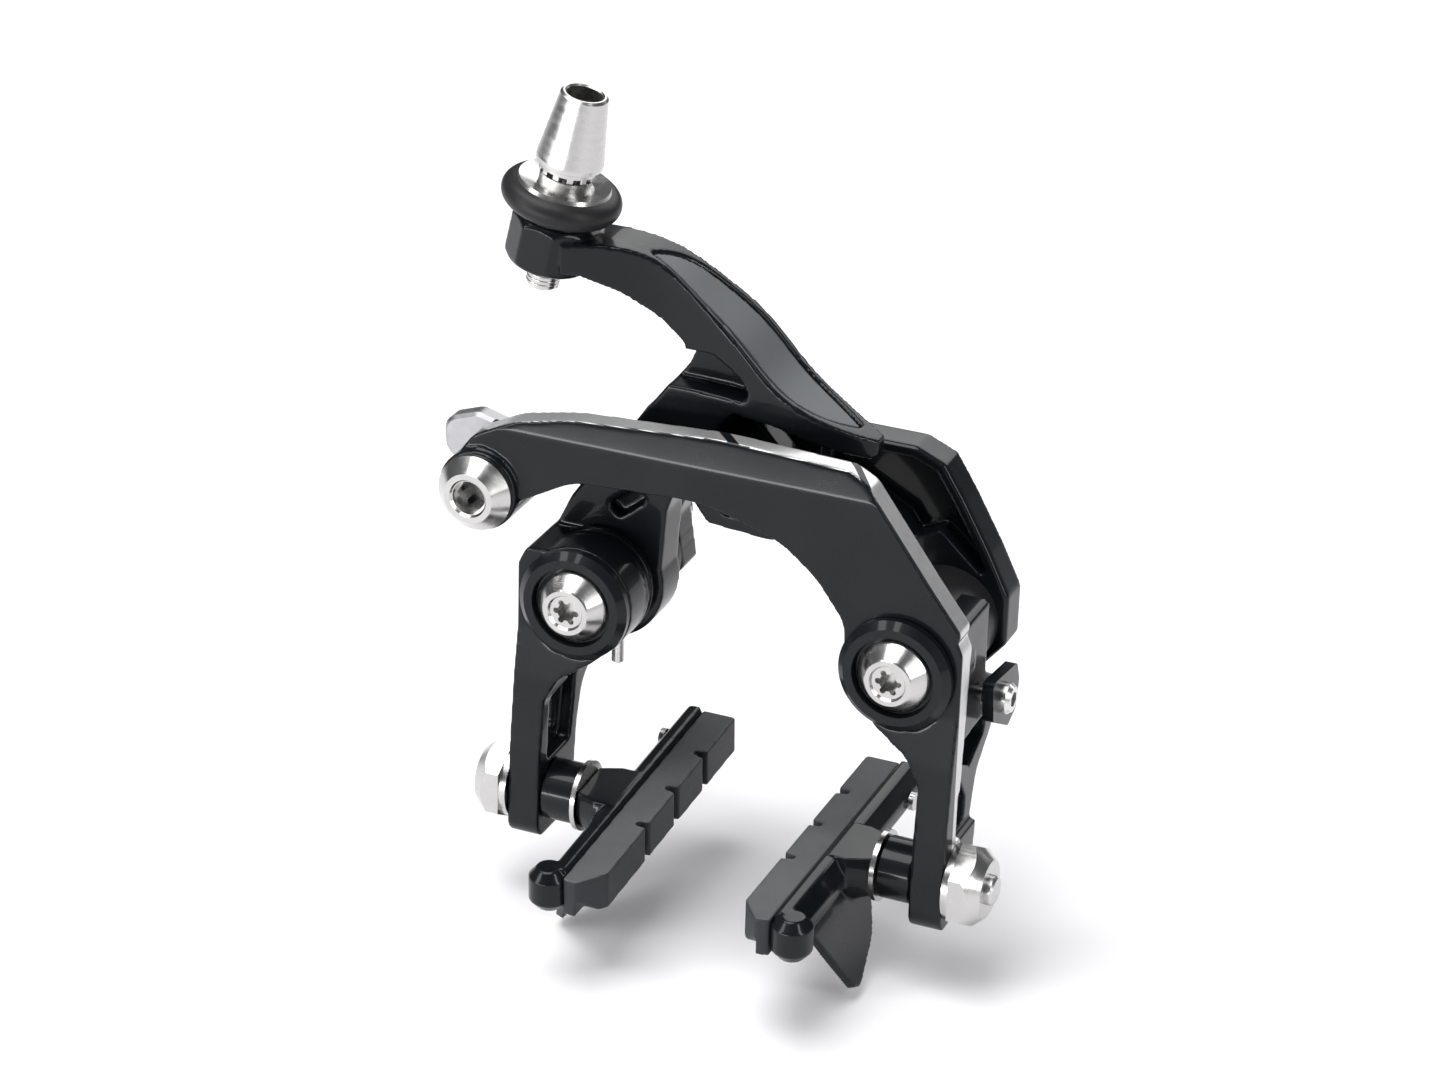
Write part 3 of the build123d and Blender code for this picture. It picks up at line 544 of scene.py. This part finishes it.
def teeth(name, centre, axis):
    """Crown of small bevelled blocks round an axis."""
    count, radius, size = TEETH["count"], TEETH["radius"], TEETH["size"]
    blocks = []
    for step in range(count):
        angle = 2 * math.pi * step / count
        bpy.ops.object.select_all(action="DESELECT")
        place = (radius * math.cos(angle), radius * math.sin(angle), 0)
        bpy.ops.mesh.primitive_cube_add(size=1, location=place, rotation=(0, 0, angle), scale=size)
        block = bpy.context.object
        bpy.ops.object.transform_apply(location=True, rotation=True, scale=True)
        apply(block, "BEVEL", width=TOOTH_BEVEL, segments=2, limit_method="NONE")
        blocks.append(block)
    bpy.ops.object.select_all(action="DESELECT")
    for block in blocks:
        block.select_set(True)
    crown = blocks[0]
    bpy.context.view_layer.objects.active = crown
    bpy.ops.object.join()
    crown.name = name
    crown.data.name = name
    stand(crown, centre, axis)
    return crown


# ---- operators ---------------------------------------------------------------------
class CALIPER_OT_levers(bpy.types.Operator):
    """Forge the front lever, rear lever and arch, with painted highlight strips and inlay"""

    bl_idname = "caliper.levers"
    bl_label = "Levers and arch"

    def execute(self, context):
        step = look().voxel * 1.0
        front = forged("anchor_arm", "front_lever", step)
        paint(front, lever_with_painted_highlights())
        seat(front, "front_arm", "black_anodised", "anchor_arm")
        black = anodised()
        rear = forged("stop_arm", "rear_lever", step)
        paint(rear, black)
        seat(rear, "stop_arm", "black_anodised", "stop_arm")
        arch = forged("rear_arch", "arch", step)
        paint(arch, black)
        seat(arch, "mount", "black_anodised", "rear_arch")
        panel = forged("arm_inlay_panel", "inlay_panel", step * 0.7, rounds=1)
        paint(panel, inlay())
        seat(panel, "stop_arm", "inlay_grey", "arm_inlay_panel")
        return {"FINISHED"}


class CALIPER_OT_pivots(bpy.types.Operator):
    """Finish the mounting bolts, rings, sleeves, bushes and springs"""

    bl_idname = "caliper.pivots"
    bl_label = "Pivots"

    def execute(self, context):
        nylon = soft_rubber("black_nylon", 0.30)
        bronze = plain_metal("sintered_bronze", (0.45, 0.30, 0.15), 0.45)
        wire = plain_metal("spring_wire", (0.45, 0.45, 0.46), 0.28)
        ground = plain_metal("ground_steel", (0.60, 0.60, 0.60), 0.22)
        for name, side in SIDES.items():
            centre = (side * PIVOT_X, 0, 0)
            bright = turned_steel(f"bolt_{name}", centre, (0, 1, 0))
            paint(f"mounting_bolt_{name}", bright)
            foot = (side * PIVOT_X, STUD["start"], 0)
            ridge = thread(f"bolt_thread_{name}", foot, (0, 1, 0), STUD)
            paint(ridge, bright)
            seat(ridge, "mount", "polished_steel")
            paint(f"dust_ring_{name}", anodised(f"ring_{name}"))
            paint(f"spring_cover_{name}", nylon)
            paint(f"rear_spacer_{name}", anodised(f"spacer_{name}"))
            paint(f"pivot_sleeve_{name}", ground)
            paint(f"arm_bush_{name}", bronze)
            paint(f"return_spring_{name}", wire)
        paint("sync_roller", nylon)
        paint("sync_roller_pin", ground)
        paint("spring_bracket_right", anodised("bracket"))
        paint("bracket_screw_right", plain_metal("bright_screw", (0.72, 0.72, 0.71), 0.2))
        paint("tension_screw_left", plain_metal("bright_set_screw", (0.72, 0.72, 0.71), 0.2))
        return {"FINISHED"}


class CALIPER_OT_adjuster(bpy.types.Operator):
    """Finish the cable adjuster: barrel, nut and rubber ring"""

    bl_idname = "caliper.adjuster"
    bl_label = "Cable adjuster"

    def execute(self, context):
        silver = turned_steel("adjuster_silver", BARREL_FOOT, BARREL_AXIS, roughness=0.2)
        paint("adjuster_barrel", silver)
        paint("adjuster_nut", silver)
        paint("adjuster_grip_ring", soft_rubber("grip_rubber"))
        foot = BARREL_FOOT + BARREL_AXIS * STUB["start"]
        ridge = thread("barrel_thread", foot, BARREL_AXIS, STUB)
        paint(ridge, silver)
        seat(ridge, "adjuster_barrel", "silver_alloy")
        crown = teeth("cone_teeth", BARREL_FOOT + BARREL_AXIS * TEETH["start"], BARREL_AXIS)
        paint(crown, silver)
        seat(crown, "adjuster_barrel", "silver_alloy")
        return {"FINISHED"}


class CALIPER_OT_anchor(bpy.types.Operator):
    """Finish the cable anchor: bolt, clamp plate and nut"""

    bl_idname = "caliper.anchor"
    bl_label = "Cable anchor"

    def execute(self, context):
        steel = turned_steel("anchor_steel", ANCHOR_AXIS, (0, 1, 0))
        paint("cable_anchor_bolt", steel)
        paint("cable_anchor_nut", plain_metal("nut_steel", (0.6, 0.6, 0.6), 0.25))
        paint("cable_clamp_plate", plain_metal("clamp_steel", (0.40, 0.40, 0.41), 0.32))
        return {"FINISHED"}


class CALIPER_OT_pads(bpy.types.Operator):
    """Finish the brake pads, their holders and fixings"""

    bl_idname = "caliper.pads"
    bl_label = "Brake pads"

    def execute(self, context):
        step = look().voxel * 1.0
        rubber = pad_rubber()
        steel = plain_metal("pad_bolt_steel", (0.6, 0.6, 0.6), 0.22)
        for name, side in SIDES.items():
            low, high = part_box(f"pad_nut_{name}")
            bright = turned_steel(f"pad_nut_{name}", (low + high) / 2, (1, 0, 0))
            paint(f"pad_nut_{name}", bright)
            paint(f"pad_washer_{name}", bright)
            paint(f"pad_spacer_{name}", anodised(f"pad_spacer_{name}"))
            paint(f"pad_bolt_{name}", steel)
            paint(f"pad_retainer_{name}", steel)
            insert = forged(f"pad_insert_{name}", f"pad_{name}", step * 0.8, rounds=2)
            paint(insert, rubber)
            seat(insert, f"pad_{name}", "pad_rubber", f"pad_insert_{name}")
            holder = forged(f"pad_holder_{name}", f"holder_{name}", step * 0.7, rounds=2)
            paint(holder, anodised(f"holder_black_{name}"))
            seat(holder, f"pad_{name}", "black_anodised", f"pad_holder_{name}")
        return {"FINISHED"}


def area_light(name, place, target, size, power, colour=(1, 1, 1)):
    """A soft box that looks at a point."""
    light = bpy.data.lights.new(name, "AREA")
    light.shape = "RECTANGLE"
    light.size, light.size_y = size
    light.energy = power
    light.color = colour
    lamp = bpy.data.objects.new(name, light)
    lamp.location = place
    direction = Vector(target) - Vector(place)
    lamp.rotation_euler = direction.to_track_quat("-Z", "Y").to_euler()
    lamp.visible_camera = False
    bpy.context.scene.collection.objects.link(lamp)


class CALIPER_OT_studio(bpy.types.Operator):
    """Lay the floor, hang the lights and set up the camera"""

    bl_idname = "caliper.studio"
    bl_label = "Studio"

    def execute(self, context):
        studio = context.scene.caliper_studio
        bpy.ops.object.select_all(action="DESELECT")
        floor_height = CAD_BOX[0][2] - 0.001
        bpy.ops.mesh.primitive_plane_add(size=12, location=(0, 0, floor_height))
        floor = context.object
        floor.name = "floor"
        paper = Finish("floor_paper")
        colour = paper.mix(paper.noise(3, 2), studio.floor, lighter(studio.floor, 1.02))
        paper.set(Base_Color=colour, Roughness=0.8, Specular_IOR_Level=0.1)
        paint(floor, paper.material)

        world = bpy.data.worlds.new("studio")
        world.use_nodes = True
        background = world.node_tree.nodes["Background"]
        background.inputs["Color"].default_value = (0.80, 0.82, 0.86, 1)
        background.inputs["Strength"].default_value = 0.16
        context.scene.world = world
        area_light("top_box", (-0.25, -0.15, 1.10), (0, 0, 0), (1.0, 0.8), 15)
        area_light("left_box", (-0.80, -0.75, 0.55), (0, 0, 0.02), (0.35, 0.9), 6)
        area_light("right_strip", (0.95, -0.35, 0.50), (0, 0, 0.02), (0.20, 0.9), 4.5)
        area_light("low_strip", (-0.38, -0.88, 0.0), (0, 0, 0.02), (0.8, 0.09), 4.0)
        area_light("back_box", (0.10, 0.9, 0.6), (0, 0, 0.02), (1.0, 0.5), 4.5)

        across = Vector((math.cos(studio.azimuth), math.sin(studio.azimuth), 0))
        ahead = Vector((-math.sin(studio.azimuth), math.cos(studio.azimuth), 0))
        back = Vector((0, 0, math.sin(studio.elevation))) - ahead * math.cos(studio.elevation)
        lift = back.cross(across)
        right = across * math.cos(studio.roll) + lift * math.sin(studio.roll)
        up = lift * math.cos(studio.roll) - across * math.sin(studio.roll)
        aim = Vector((0, -0.032, 0)) - right * 0.00148 + up * 0.01573
        data = bpy.data.cameras.new("camera")
        data.lens = studio.lens
        data.sensor_width = 36
        camera = bpy.data.objects.new("camera", data)
        place = Matrix((right, up, back)).transposed().to_4x4()
        place.translation = aim + back * studio.distance
        camera.matrix_world = place
        context.scene.collection.objects.link(camera)
        context.scene.camera = camera
        context.scene.view_settings.view_transform = "Standard"
        return {"FINISHED"}


class CALIPER_PT_tools(bpy.types.Panel):
    """Buttons for the caliper's steps"""

    bl_label = "Caliper"
    bl_idname = "CALIPER_PT_tools"
    bl_space_type = "VIEW_3D"
    bl_region_type = "UI"
    bl_category = "Caliper"

    def draw(self, context):
        for name in ("anodised", "strip", "inlay", "steel", "rubber", "voxel"):
            self.layout.prop(context.scene.caliper_finishes, name)
        for step in STEPS:
            self.layout.operator(step.bl_idname)


STEPS = (
    CALIPER_OT_studio,
    CALIPER_OT_levers,
    CALIPER_OT_pivots,
    CALIPER_OT_adjuster,
    CALIPER_OT_anchor,
    CALIPER_OT_pads,
)
CLASSES = (CaliperFinishes, CaliperStudio, *STEPS, CALIPER_PT_tools)


def register():
    for item in CLASSES:
        bpy.utils.register_class(item)
    bpy.types.Scene.caliper_finishes = PointerProperty(type=CaliperFinishes)
    bpy.types.Scene.caliper_studio = PointerProperty(type=CaliperStudio)


def unregister():
    del bpy.types.Scene.caliper_studio
    del bpy.types.Scene.caliper_finishes
    for item in reversed(CLASSES):
        bpy.utils.unregister_class(item)


def main():
    register()
    bpy.ops.object.select_all(action="DESELECT")
    bpy.ops.caliper.studio()
    bpy.ops.caliper.levers()
    bpy.ops.caliper.pivots()
    bpy.ops.caliper.adjuster()
    bpy.ops.caliper.anchor()
    bpy.ops.caliper.pads()


if __name__ == "__main__":
    main()
